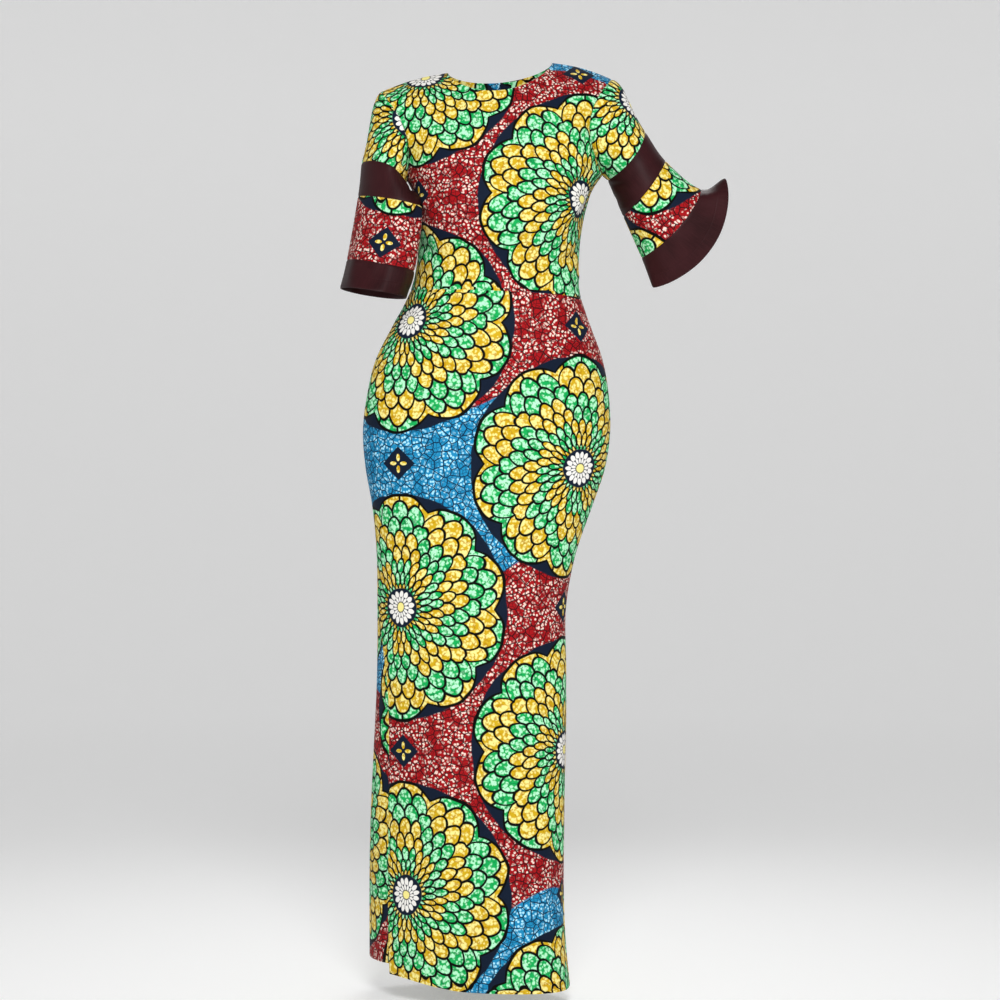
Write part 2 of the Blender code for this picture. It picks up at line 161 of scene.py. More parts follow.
# A hem's own edge rolls inwards and thins.
HEM_ROLL = 0.0012
HEM_SINK = 0.0005
HEM_THINNING = 0.0008
SEAM_GROOVE = 0.0009
SEAM_WIDTH = 0.0017
# The share of a crease that is left on a seam, and how far from it the whole crease stands.
SEAM_CREASING = 0.65
SEAM_CALM = 0.006
SHARP_DEGREES = 60
# Further rows and columns, this far from a piece's edges.
EDGE_PLACES = (0.0009, 0.0021, 0.0042)
# Cells to a row or column, and the size of a row and a column.
BODY_FINE = 6
ROW_FINE = 5
SKIRT_FINE = 7
SLEEVE_FINE = 6
BODICE_PITCH = (0.0225, 0.0185)
SKIRT_PITCH = (0.0410, 0.0200)
SLEEVE_PITCH = 0.022
# Places are told apart to this many digits.
DIGITS = 5
TINY = 1e-12
FAR = 1.0
UNROLL_STEP = 3
UNROLL_ROUNDS = 8
EASE_EDGE = (0.004, 0.024)
EASE_ROUNDS = 90

# Creases of the body: angle and height of each end, then the fold's half width and height in millimetres,
# below 0 for a trough. Angles are from centre front, to the wearer's left.
BODY_CREASES = (
    # front, above the waist
    (-70, -0.158, -36, -0.214, 10, -4.4),
    (-74, -0.18, -46, -0.24, 9, 3.1),
    (66, -0.148, 32, -0.212, 10, -5.3),
    (72, -0.172, 44, -0.236, 10, 4),
    (-84, -0.262, -48, -0.292, 11, -4),
    (84, -0.262, 46, -0.3, 11, -4),
    (-62, -0.304, -26, -0.314, 8, 3),
    (88, -0.312, 36, -0.322, 8, 3.3),
    (-24, -0.128, 6, -0.118, 16, -2.6),
    (58, -0.052, 30, -0.105, 13, -4),
    (-62, -0.066, -34, -0.11, 13, -3.1),
    # front, from the waist to the knees
    (-86, -0.366, -40, -0.372, 9, -3.5),
    (86, -0.378, 44, -0.386, 9, -3.5),
    (-48, -0.424, 48, -0.42, 50, 4.5),
    (-74, -0.438, 12, -0.512, 22, -5.6),
    (72, -0.436, -10, -0.514, 22, -5.6),
    (-60, -0.56, -20, -0.54, 17, 3.1),
    (62, -0.566, 22, -0.548, 17, 3.1),
    (-12, -0.585, -6, -0.78, 30, -6.6),
    (54, -0.7, 20, -0.76, 16, -4.4),
    (-62, -0.742, -22, -0.792, 16, -4.2),
    (48, -0.812, 14, -0.842, 17, 3.5),
    # front, below the knees
    (-34, -0.9, -30, -1.4, 34, 5.7),
    (-8, -0.93, -2, -1.4, 32, -5.4),
    (24, -0.96, 30, -1.4, 30, 5.4),
    (56, -0.9, 60, -1.4, 30, -4.5),
    # back, above the waist
    (-150, -0.07, -128, -0.13, 14, -4.4),
    (150, -0.06, 126, -0.126, 14, -4.8),
    (-164, -0.282, -112, -0.292, 10, -4.8),
    (166, -0.288, 110, -0.296, 10, -4.8),
    (-172, -0.312, -124, -0.318, 9, 4),
    (174, -0.318, 122, -0.324, 9, 4),
    (-146, -0.18, -108, -0.214, 13, -3.7),
    (146, -0.176, 106, -0.21, 13, -3.7),
    # back, below the waist
    (-168, -0.372, -116, -0.384, 10, -4),
    (168, -0.376, 116, -0.39, 10, -4),
    (-158, -0.636, -108, -0.606, 16, -5.3),
    (158, -0.64, 108, -0.612, 16, -5.3),
    (-140, -0.7, -170, -0.76, 18, 4),
    (140, -0.704, 170, -0.77, 18, 4),
    (180, -0.64, 178, -0.96, 30, -7),
    (-146, -0.88, -140, -1.4, 32, 6),
    (-172, -0.96, -172, -1.4, 30, -5.7),
    (156, -0.94, 152, -1.4, 32, 6.3),
    (126, -0.9, 122, -1.4, 30, -5.4),
    (98, -0.98, 94, -1.4, 28, 4.5),
)
BODY_RADIUS = 0.13
# Creases of the sleeves: angle round the sleeve (0 outer, 90 front, 180 inner) and station of each end,
# then half width and height in millimetres.
SLEEVE_CREASES = {
    "right": (
        (158, 1.4, 157, 3.4, 15, 4.2),
        (150, 0.35, 96, 0.8, 10, -3.3),
        (140, 0.65, 80, 1.1, 9, 2.4),
        (215, 0.4, 262, 0.85, 10, -3.3),
        (30, 0.1, 60, 0.4, 10, -1.8),
        (175, 1.2, 120, 1.7, 10, -3),
        (190, 1.9, 250, 2.1, 10, -3),
        (60, 2.1, 96, 2.5, 12, -2.4),
        (38, 2.3, 42, 4, 16, 3),
        (84, 2.4, 88, 4, 15, -2.8),
        (132, 2.5, 130, 4, 16, 3),
        (212, 2.5, 212, 4, 16, -3),
        (262, 2.4, 260, 4, 16, 3.2),
        (318, 2.5, 316, 4, 16, -2.8),
    ),
    "left": (
        (160, 0.3, 100, 0.72, 10, -3.9),
        (150, 0.62, 84, 1.02, 9, 2.7),
        (205, 0.32, 258, 0.75, 10, -3.9),
        (26, 0.08, 58, 0.36, 10, -2.1),
        (176, 1.15, 118, 1.5, 9, -3.6),
        (186, 1.55, 240, 1.85, 9, -3.6),
        (172, 1.8, 110, 2.05, 9, 2.7),
        (70, 2.2, 50, 2.7, 12, -2.7),
        (48, 2.5, 40, 4, 14, 3),
        (96, 2.4, 94, 4, 14, -2.5),
        (140, 2.5, 142, 4, 14, 3),
        (222, 2.5, 224, 4, 14, -3),
        (268, 2.4, 270, 4, 14, 3),
        (316, 2.5, 318, 4, 14, -2.8),
    ),
}
SLEEVE_RADIUS = 0.055
STATION_LENGTH = 0.085
# They fade towards the armhole, over this part of a station.
ARMHOLE_CALM = 0.25
CREASE_BOW = 0.06
CREASE_BANK = 0.55
CREASE_TIP = 0.08
CREASE_TIP_POWER = 0.8
# A slight sway round the lower skirt.
SWAY = 0.0016
SWAY_WAVES = 7
SWAY_START = 0.6
SWAY_LEVELS = (-0.95, -1.30)

# Where on the printed cloth each piece was cut: the place under its own middle, along and up.
PRINT_PLACES = {
    "front_bodice": (0.143, 0.066),
    "front_skirt": (0.137, 0.050),
    "back": (0.143, 0.220),
    "sleeve_right": (-0.088, 0.473),
    "sleeve_left": (0.275, 0.275),
}


def curve_through(table, column):
    """A smooth function through one column of a table, against its first column."""
    rows = sorted(table)
    places = np.array([row[0] for row in rows])
    values = np.array([row[column] for row in rows])
    slopes = np.gradient(values, places)

    def value(place):
        place = np.clip(place, places[0], places[-1])
        i = np.clip(np.searchsorted(places, place) - 1, 0, len(places) - 2)
        span = places[i + 1] - places[i]
        t = (place - places[i]) / span
        ease = t * t * (3 - 2 * t)
        pull = t * (1 - t) * span * ((1 - t) * slopes[i] - t * slopes[i + 1])
        return values[i] * (1 - ease) + values[i + 1] * ease + pull

    return value


SECTION = {name: curve_through(SECTIONS, i) for i, name in enumerate(SECTION_COLUMNS) if i}
TURN = curve_through(STANCE_TURN, 1)
RIGHT_SEAM_ANGLE = curve_through(RIGHT_SEAM, 1)


def smooth_step(value, start, end):
    t = np.clip((value - start) / (end - start), 0.0, 1.0)
    return t * t * (3 - 2 * t)


def blend(first, second, share):
    """The first where share is 0 and the second where it is 1, for numbers and for points."""
    if np.ndim(share) and 3 in np.shape(first)[-1:] + np.shape(second)[-1:]:
        share = share[..., None]
    return first * (1 - share) + second * share


def unit(vectors):
    return vectors / np.maximum(np.linalg.norm(vectors, axis=-1, keepdims=True), TINY)


def section_middle(height):
    return (SECTION["right"](height) + SECTION["left"](height)) / 2


def section_radius(angle, height):
    half = (SECTION["left"](height) - SECTION["right"](height)) / 2
    across = np.sin(np.radians(angle))
    forward = np.cos(np.radians(angle))
    in_front = forward > 0
    depth = np.where(in_front, SECTION["front"](height), SECTION["back"](height))
    power = np.where(in_front, SECTION["front_square"](height), SECTION["back_square"](height))
    return ((np.abs(across) / half) ** power + (np.abs(forward) / depth) ** power) ** (-1 / power)


def body_point(angle, height):
    radius = section_radius(angle, height)
    across = radius * np.sin(np.radians(angle))
    back = -radius * np.cos(np.radians(angle)) - TURN(height) * across
    return np.stack(np.broadcast_arrays(section_middle(height) + across, back, height), axis=-1)


def level_height(level, angle):
    height = np.full(np.shape(angle), level[0])
    for _ in range(SETTLING_ROUNDS):
        height = level[0] + level[1] * body_point(angle, height)[..., 0]
    return height


def armpit_point(side):
    angle = np.array(SIDE_ANGLE[side])
    return body_point(angle, level_height(CHEST_LEVEL, angle))


def armhole_point(side, angle):
    """A point of the armhole's loop: 0 at the shoulder, 90 at the front, 180 at the armpit."""
    hole = ARMHOLES[side]
    up, forward = np.cos(np.radians(angle)), np.sin(np.radians(angle))
    point = blend(armpit_point(side), ARMHOLE_TOP[side], (1 + up) / 2)
    reach, cut = (np.where(forward > 0, *pair) for pair in zip(hole["front"], hole["back"]))
    point[..., 1] -= reach * forward
    point[..., 0] -= np.sign(SIDE_ANGLE[side]) * cut * forward**2
    return point


def neck_point(share, front):
    reach, drop = NECK_FRONT if front else NECK_BACK
    point = blend(NECK_RIGHT, NECK_LEFT, (1 - np.cos(np.pi * share)) / 2)
    outward = np.clip(np.sin(np.pi * share), 0.0, 1.0)
    point[..., 1] -= reach * outward
    point[..., 2] -= drop * outward**NECK_DROP_POWER
    return point


def yoke_top(column, front):
    """The upper edge: shoulder seam, neck and shoulder seam."""
    share = np.clip((column - SHOULDER_COLUMNS) / (LAST_NECK_COLUMN - SHOULDER_COLUMNS), 0.0, 1.0)
    neck = neck_point(share, front)
    inward = np.clip(np.minimum(column, HALF_COLUMNS - column) / SHOULDER_COLUMNS, 0.0, 1.0)
    to_right = blend(ARMHOLE_TOP["right"], NECK_RIGHT, inward)
    to_left = blend(ARMHOLE_TOP["left"], NECK_LEFT, inward)
    shoulder = np.where((column < HALF_COLUMNS / 2)[..., None], to_right, to_left)
    shoulder[..., 2] += SHOULDER_SEAM_RISE * np.sin(np.pi * inward)
    on_neck = (column >= SHOULDER_COLUMNS) & (column <= LAST_NECK_COLUMN)
    return np.where(on_neck[..., None], neck, shoulder)


def rise(start, end, share, roundness):
    """A point on the way from start up to end, from a straight line (0) to a quarter round (1)."""
    turn = np.radians(90 * share)
    straight = blend(start, end, share)
    arc = straight.copy()
    arc[..., 1] = start[..., 1] + (end[..., 1] - start[..., 1]) * (1 - np.cos(turn))
    arc[..., 2] = start[..., 2] + (end[..., 2] - start[..., 2]) * np.sin(turn)
    return blend(straight, arc, roundness)


def half_angle(column, front):
    angle = blend(SIDE_ANGLE["right"], SIDE_ANGLE["left"], column / HALF_COLUMNS)
    return angle if front else 180 - angle


def yoke_point(column, row, front):
    """A point above the chest. Its ends are drawn on to the armholes, and the pull fades inwards."""
    share = row / YOKE_ROWS
    angle = half_angle(column, front)
    chest = body_point(angle, level_height(CHEST_LEVEL, angle))
    from_edge = np.minimum(column, HALF_COLUMNS - column) / SHOULDER_COLUMNS
    roundness = blend(SHOULDER_ROUND, NECK_ROUND, smooth_step(from_edge, *ROUND_FADE))
    point = rise(chest, yoke_top(column, front), share, roundness)
    for side, columns_away in (("right", column), ("left", HALF_COLUMNS - column)):
        loop = armhole_point(side, 180 * (1 - share) if front else 180 * (1 + share))
        plain = rise(armpit_point(side), ARMHOLE_TOP[side], share, roundness)
        weight = np.clip(1 - 2 * columns_away / HALF_COLUMNS, 0.0, None) ** ARMHOLE_FADE
        point = point + (loop - plain) * weight[..., None]
    return point


def bodice_point(column, row, front):
    angle = half_angle(column, front)
    bottom, top = level_height(WAIST_LEVEL, angle), level_height(CHEST_LEVEL, angle)
    low = body_point(angle, blend(bottom, top, np.clip(row / BODICE_ROWS, 0, 1)))
    high = yoke_point(column, np.clip(row - BODICE_ROWS, 0, None), front)
    return np.where((row > BODICE_ROWS)[..., None], high, low)


def skirt_angle(part, share, height):
    seam, left = RIGHT_SEAM_ANGLE(height), SIDE_ANGLE["left"]
    ends = {"front": (seam, left), "back_left": (left, 180.0), "back_right": (-180.0, seam)}
    return blend(*ends[part], share)


def skirt_place(part, share, row):
    """Angle and height of a point of the skirt: the rows run down to the vent's top, then to the hem."""
    corner_rise = FRONT_CORNER_RISE if part == "front" else BACK_CORNER_RISE
    height = np.full(np.shape(row), VENT_TOP)
    for _ in range(SETTLING_ROUNDS):
        angle = skirt_angle(part, share, height)
        top = level_height(WAIST_LEVEL, angle)
        upper = top + (VENT_TOP - top) * np.clip(row / SKIRT_ROWS, 0, 1)
        way = np.clip((row - SKIRT_ROWS) / VENT_ROWS, 0, 1)
        hem_rise = corner_rise * smooth_step(body_point(angle, HEM)[..., 0], *CORNER_RISE_SPAN)
        lower = VENT_TOP + (HEM - VENT_TOP) * way + hem_rise * way**RISE_POWER
        height = np.where(row < SKIRT_ROWS, upper, lower)
    return angle, height


def sleeve_section(side, station):
    """Middle of a sleeve's section, its half width, its half depth and the hang of its edge."""
    rows = [(i + 1.0,) + row for i, row in enumerate(SLEEVES[side])]
    value = {name: curve_through(rows, i + 1)(station) for i, name in enumerate(SLEEVE_COLUMNS)}
    places = ((value[edge + "_x"], value["middle"], value[edge + "_z"]) for edge in ("outer", "inner"))
    outer, inner = (np.stack(place, axis=-1) for place in places)
    width = (outer - inner) / 2
    down = np.cross(width, (0.0, 1.0, 0.0))
    down *= (-np.copysign(1.0, down[..., 2]) / np.linalg.norm(down, axis=-1))[..., None]
    lean = value["lean"][..., None]
    forward = np.zeros_like(width)
    forward[..., 1] = value["half_depth"]
    depth = -width * lean - forward
    depth += down * ((value["front_hang"] - value["back_hang"]) / 2)[..., None]
    hang = down * ((value["front_hang"] + value["back_hang"]) / 2)[..., None]
    return (outer + inner) / 2, width * np.sqrt(1 - lean**2), depth, hang


def sleeve_point(side, angle, station):
    """A point of a sleeve, where the angle runs round as on the armhole."""
    across, forward = np.cos(np.radians(angle))[..., None], np.sin(np.radians(angle))[..., None]
    middle, width, depth, hang = sleeve_section(side, np.maximum(station, 1.0))
    tube = middle + width * across + depth * forward + hang * forward**2
    puff = SHOULDER_PUFF[side] * station * (1 - station) ** 3 / PUFF_PEAK
    puff = puff[..., None] * np.clip(across, 0, None)
    head = blend(armhole_point(side, angle), tube, np.clip(station, 0, 1)) + unit(width) * puff
    return clear_of_body(np.where((station < 1)[..., None], head, tube))


def clear_of_body(point):
    height = point[..., 2]
    middle = section_middle(height)
    across, back = point[..., 0] - middle, point[..., 1]
    radius = section_radius(np.degrees(np.arctan2(across, -back)), height) + SLEEVE_CLEARANCE
    push = np.maximum(radius / np.hypot(across, back), 1.0)
    pushed = np.stack((middle + across * push, back * push, height), axis=-1)
    held = height > CHEST_LEVEL[0] - SLEEVE_CLEARANCE
    return np.where(held[..., None], point, pushed)


# ---- Creases ----


def wrapped(value, span):
    return (value + span / 2) % span - span / 2


def crease_height(angle, place, creases, radius, unit_length=1.0):
    """The creases' height on a surface unrolled from a radius, each a soft ridge or trough."""
    x, y, around = np.radians(angle) * radius, place * unit_length, 2 * math.pi * radius
    total = np.zeros(np.shape(x))
    for first, start, second, end, width, height in creases:
        dx = wrapped(math.radians(second - first) * radius, around)
        dy = (end - start) * unit_length
        length = math.hypot(dx, dy)
        px = wrapped(x - math.radians(first) * radius, around)
        py = y - start * unit_length
        t = np.clip((px * dx + py * dy) / length**2, 0.0, 1.0)
        # A slight bow keeps a crease from being a ruled line.
        bow = CREASE_BOW * length * np.sin(np.pi * t)
        off_x = px - dx * t + dy / length * bow
        off_y = py - dy * t - dx / length * bow
        distance = np.hypot(off_x, off_y) / (width / 1000)
        profile = (1 - CREASE_BANK * distance**2) * np.exp(-(distance**2))
        ends = np.sin(np.pi * blend(CREASE_TIP, 1 - CREASE_TIP, t)) ** CREASE_TIP_POWER
        total += height / 1000 * profile * ends
    return total


def body_relief(angle, height):
    """How far the worn cloth stands off its plain form."""
    sway = SWAY * np.sin(np.radians(angle) * SWAY_WAVES + SWAY_START) * smooth_step(height, *SWAY_LEVELS)
    return crease_height(angle, height, BODY_CREASES, BODY_RADIUS) + sway


def sleeve_relief(side, angle, station):
    creases = crease_height(angle, station, SLEEVE_CREASES[side], SLEEVE_RADIUS, STATION_LENGTH)
    return creases * smooth_step(station, 0.0, ARMHOLE_CALM)


# ---- Pieces of cloth ----


def steps(count, fine, pitch):
    """Places along a grid's side, closer by its ends where the cloth turns into a seam or a hem."""
    even, near = np.linspace(0, count, count * fine + 1), np.array(EDGE_PLACES) / pitch
    return np.unique(np.concatenate([even, near, count - near]).round(DIGITS))


def along(points, axis):
    """Distance travelled along a grid's rows or columns."""
    step = np.linalg.norm(np.diff(points, axis=axis), axis=-1)
    start = np.zeros_like(np.take(step, [0], axis=axis))
    return np.concatenate([start, np.cumsum(step, axis=axis)], axis=axis)


class Cloth:
    """One piece: a grid of points, its relief, its place on the printed cloth and its free edges."""

    def __init__(self, name, points, relief, slot, closed=False, cells=True, turned=False):
        self.name, self.points, self.relief, self.slot = name, points, relief, slot
        self.closed, self.turned = closed, turned
        rows, columns = points.shape[:2]
        self.cells = np.full((rows - 1, columns - 1), cells)
        self.free = np.zeros((rows, columns), bool)
        self.rim = np.ones((rows, columns), bool)
        self.rim[1:-1, slice(None) if closed else slice(1, -1)] = False
        self.normals = self.facing()
        self.print_at = None

    def facing(self):
        """The way out of the cloth at each point."""
        p = self.points
        face = np.cross(p[1:, 1:] - p[:-1, :-1], p[1:, :-1] - p[:-1, 1:])
        face[~self.cells] = 0
        total = np.zeros_like(p)
        for rows in (slice(0, -1), slice(1, None)):
            for columns in (slice(0, -1), slice(1, None)):
                total[rows, columns] += face
        if self.closed:
            total[:, 0] += total[:, -1]
            total[:, -1] = total[:, 0]
        return -unit(total) if self.turned else unit(total)

    def edge_distances(self):
        """Distance to the nearest seam and to the nearest free edge, at each point."""
        down, across = along(self.points, 0), along(self.points, 1)
        sides = [(down, self.free[:1]), (down[-1:] - down, self.free[-1:])]
        if not self.closed:
            sides += [(across, self.free[:, :1]), (across[:, -1:] - across, self.free[:, -1:])]
        seam, hem = np.full((2,) + down.shape, FAR)
        for distance, free in sides:
            hem = np.where(free, np.minimum(hem, distance), hem)
            seam = np.where(free, seam, np.minimum(seam, distance))
        return seam, hem


def share_rim_normals(cloths):
    """Neighbours lean the same way along the seam between them."""
    keys = [[tuple(point) for point in cloth.points[cloth.rim].round(DIGITS) + 0.0] for cloth in cloths]
    totals = {}
    for cloth, rim_keys in zip(cloths, keys):
        for key, normal in zip(rim_keys, cloth.normals[cloth.rim]):
            totals[key] = totals.get(key, 0) + normal
    for cloth, rim_keys in zip(cloths, keys):
        cloth.normals[cloth.rim] = unit(np.array([totals[key] for key in rim_keys]))


def cell_corners(cells):
    """Row and column of the four corners of each cell."""
    r, c = np.nonzero(cells)
    return np.array([(r, c), (r, c + 1), (r + 1, c + 1), (r + 1, c)]).transpose(2, 0, 1)


def mesh_of(name, points, faces):
    """A mesh of the faces and of the points that they use, and those points' numbers."""
    used = np.unique(faces)
    mesh = bpy.data.meshes.new(name)
    mesh.from_pydata(points[used].tolist(), [], np.searchsorted(used, faces).tolist())
    return mesh, used


def placed(name, data):
    """A new object in the scene."""
    obj = bpy.data.objects.new(name, data)
    bpy.context.scene.collection.objects.link(obj)
    return obj


def shell_sides(cloth, seam, hem):
    """Outer and inner points: creased, sunk along the seams, and thicker at a turned hem."""
    edge = np.exp(-((hem / HEM_ROLL) ** 2))
    relief = cloth.relief * blend(SEAM_CREASING, 1.0, smooth_step(seam, 0.0, SEAM_CALM))
    relief = relief - SEAM_GROOVE * np.exp(-((seam / SEAM_WIDTH) ** 2)) - HEM_SINK * edge
    thick = blend(HEM_CLOTH, CLOTH, smooth_step(hem, HEM_DEPTH - HEM_STEP, HEM_DEPTH)) - HEM_THINNING * edge
    outer = cloth.points + cloth.normals * relief[..., None]
    return outer, outer - cloth.normals * thick[..., None]


def shell_faces(cloth):
    """Faces of the two sides and the rim, by their points' numbers and by their places on the grid."""
    rows, columns = cloth.points.shape[:2]
    total = rows * columns
    index = np.arange(total).reshape(rows, columns)
    if cloth.closed:
        index[:, -1] = index[:, 0]
    places = cell_corners(cloth.cells)
    if cloth.turned:
        places = places[:, ::-1]
    faces = index[places[..., 0], places[..., 1]]
    # The rim stands on the edges that only one cell uses.
    start, end = faces.ravel(), np.roll(faces, -1, axis=1).ravel()
    lone = ~np.isin(start * total + end, end * total + start)
    start, end = start[lone], end[lone]
    start_place = places.reshape(-1, 2)[lone]
    end_place = np.roll(places, -1, axis=1).reshape(-1, 2)[lone]
    rim = np.stack([end, start, start + total, end + total], axis=1)
    rim_places = np.stack([end_place, start_place, start_place, end_place], axis=1)
    faces = np.concatenate([faces, faces[:, ::-1] + total, rim])
    return faces, np.concatenate([places, places[:, ::-1], rim_places])


def build_shell(cloth):
    seam, hem = cloth.edge_distances()
    sides = np.concatenate([side.reshape(-1, 3) for side in shell_sides(cloth, seam, hem)])
    faces, places = shell_faces(cloth)
    mesh, used = mesh_of(cloth.name + "_cloth", sides, faces)
    print_at = cloth.print_at[places[..., 0], places[..., 1]]
    mesh.uv_layers.new(name="cloth").data.foreach_set("uv", print_at.astype(np.float32).ravel())
    to_hem = np.tile(hem.ravel(), 2)[used]
    mesh.attributes.new("hem", "FLOAT", "POINT").data.foreach_set("value", to_hem.astype(np.float32))
    mesh.shade_smooth()
    mesh.set_sharp_from_angle(angle=math.radians(SHARP_DEGREES))
    mesh.validate()
    return placed(cloth.name + "_cloth", mesh)


def lay_on_print(cloth, origin, middle, sign=1.0):
    """Lays the piece flat on the printed cloth, its middle column at origin and running along the grain."""
    across = along(cloth.points, 1)
    rough = across - across[:, middle : middle + 1] + 1j * sign * along(cloth.points, 0)
    rows, columns = (np.unique([*range(0, size, UNROLL_STEP), size - 1]) for size in rough.shape)
    picked = np.ix_(rows, columns)
    coarse = unrolled(cloth.points[picked], cloth.cells[np.ix_(rows[:-1], columns[:-1])], rough[picked])
    flat = np.stack([np.interp(np.arange(rough.shape[1]), columns, line) for line in coarse])
    flat = np.stack([np.interp(np.arange(rough.shape[0]), rows, line) for line in flat.T]).T
    flat = flat - flat[0, middle]
    cloth.print_at = np.stack([origin[0] + flat.real, origin[1] + flat.imag], axis=-1)


def unrolled(points, cells, rough):
    """A grid laid flat with the least stretch, in metres, turned as the rough laying out is."""
    corners = cell_corners(cells)
    faces = np.arange(rough.size).reshape(rough.shape)[corners[..., 0], corners[..., 1]]
    mesh, used = mesh_of("flat", points.reshape(-1, 3), faces)
    mesh.uv_layers.new(name="flat")
    obj = placed("flat", mesh)
    bpy.context.view_layer.objects.active = obj
    bpy.ops.object.mode_set(mode="EDIT")
    bpy.ops.mesh.select_all(action="SELECT")
    bpy.ops.uv.unwrap(method="MINIMUM_STRETCH", iterations=UNROLL_ROUNDS, margin=0.0)
    bpy.ops.object.mode_set(mode="OBJECT")
    vertices = np.empty(len(mesh.loops), np.int32)
    mesh.loops.foreach_get("vertex_index", vertices)
    uv = np.empty(2 * len(mesh.loops), np.float32)
    mesh.uv_layers["flat"].data.foreach_get("uv", uv)
    found = np.zeros(len(used), complex)
    found[vertices] = uv[0::2].astype(float) + 1j * uv[1::2]
    bpy.data.objects.remove(obj)
    bpy.data.meshes.remove(mesh)
    # The unwrapping is scaled and turned on to the rough places, as it is or turned over.
    target = rough.ravel()[used]
    fits = []
    for places in (found, found.conj()):
        terms = np.stack([places, np.ones(len(places))], axis=1)
        fits.append(terms @ np.linalg.lstsq(terms, target, rcond=None)[0])
    flat = rough.copy().ravel()
    flat[used] = min(fits, key=lambda fit: np.abs(fit - target).mean())
    return flat.reshape(rough.shape)


def eased(points, where):
    """The grid with its bends spread out, away from its edges."""
    down, across = along(points, 0), along(points, 1)
    to_edge = np.minimum.reduce([down, down[-1:] - down, across, across[:, -1:] - across])
    weight = (smooth_step(to_edge, *EASE_EDGE) * where)[..., None]
    for _ in range(EASE_ROUNDS):
        mean = sum(np.roll(points, step, axis) for axis in (0, 1) for step in (1, -1)) / 4
        points = points + (mean - points) * weight
    return points


def bodice_cloths():
    rows = steps(BODICE_ROWS + YOKE_ROWS, ROW_FINE, BODICE_PITCH[0])
    half = HALF_COLUMNS // 2
    for name, front, first, count in (
        ("front_bodice", True, 0, HALF_COLUMNS),
        ("back_bodice_right", False, 0, half),
        ("back_bodice_left", False, half, half),
    ):
        columns = first + steps(count, BODY_FINE, BODICE_PITCH[1])
        row, column = np.meshgrid(rows, columns, indexing="ij")
        points = eased(bodice_point(column, row, front), row > BODICE_ROWS)
        relief = body_relief(half_angle(column, front), points[..., 2])
        cloth = Cloth(name, points, relief, "wax_print", turned=not front)
        cloth.free[-1] = (columns > SHOULDER_COLUMNS) & (columns < LAST_NECK_COLUMN)
        middle = np.argmin(np.abs(columns - half))
        lay_on_print(cloth, PRINT_PLACES[name if front else "back"], middle)
        yield cloth


def skirt_cloths():
    rows = steps(SKIRT_ROWS + VENT_ROWS, SKIRT_FINE, SKIRT_PITCH[0])
    half = HALF_COLUMNS // 2
    for name, part, count, middle, underlap in (
        ("front_skirt", "front", HALF_COLUMNS, half, 0),
        ("back_skirt_left", "back_left", half, half, 0),
        ("back_skirt_right", "back_right", half, 0, UNDERLAP_COLUMNS),
    ):
        columns = steps(count, BODY_FINE, SKIRT_PITCH[1])
        if underlap:
            columns = np.concatenate([columns, count + steps(underlap, BODY_FINE, SKIRT_PITCH[1])[1:]])
        row, column = np.meshgrid(rows, columns, indexing="ij")
        angle, height = skirt_place(part, np.minimum(column / count, 1.0), row)
        angle = angle + UNDERLAP_DEGREES * np.maximum(column - count, 0) / UNDERLAP_COLUMNS
        relief = body_relief(angle, height)
        if underlap:
            sunk = smooth_step(row, SKIRT_ROWS, SKIRT_ROWS + UNDERLAP_SINK_ROWS)
            sunk = smooth_step(column, *np.subtract(count, UNDERLAP_SINK_COLUMNS)) * sunk
            relief = relief - UNDERLAP_STEP * sunk
        cells = (columns[:-1] < count) | (rows[:-1, None] >= SKIRT_ROWS + UNDERLAP_START)
        cloth = Cloth(name, body_point(angle, height), relief, "wax_print", cells=cells, turned=True)
        cloth.free[-1] = True
        if part == "front":
            cloth.free[rows > SKIRT_ROWS, 0] = True
        if underlap:
            cloth.free[:, -1] = True
        origin = PRINT_PLACES[name if part == "front" else "back"]
        lay_on_print(cloth, origin, np.argmin(np.abs(columns - middle)), -1.0)
        yield cloth


def sleeve_cloths(side):
    along_print, up_print = PRINT_PLACES["sleeve_" + side]
    angles = np.linspace(-180, 180, 2 * YOKE_ROWS * SLEEVE_FINE + 1)
    middle = len(angles) // 2
    for piece, start, end, count, slot in SLEEVE_PIECES:
        stations = start + (end - start) * steps(count, SLEEVE_FINE, SLEEVE_PITCH) / count
        station, angle = np.meshgrid(stations, angles, indexing="ij")
        points = sleeve_point(side, angle, station)
        points[:, -1] = points[:, 0]
        relief = sleeve_relief(side, angle, station)
        cloth = Cloth(f"sleeve_{side}_{piece}", points, relief, slot, closed=True, turned=side == "right")
        cloth.free[-1] = piece == "cuff"
        lay_on_print(cloth, (along_print, up_print), middle, -1.0)
        up_print -= float(along(points, 0)[-1, middle])
        yield cloth


# ---- Materials ----


def linear(hex_colour):
    """A screen's colour as a shader takes it."""
    channels = [int(hex_colour[i : i + 2], 16) / 255 for i in (1, 3, 5)]
    return tuple(c / 12.92 if c <= 0.04045 else ((c + 0.055) / 1.055) ** 2.4 for c in channels) + (1.0,)


def sums(operation):
    """A method that runs a Math node on its Value and on what it is given."""
    return lambda value, *others: value.run(operation, value, *others)


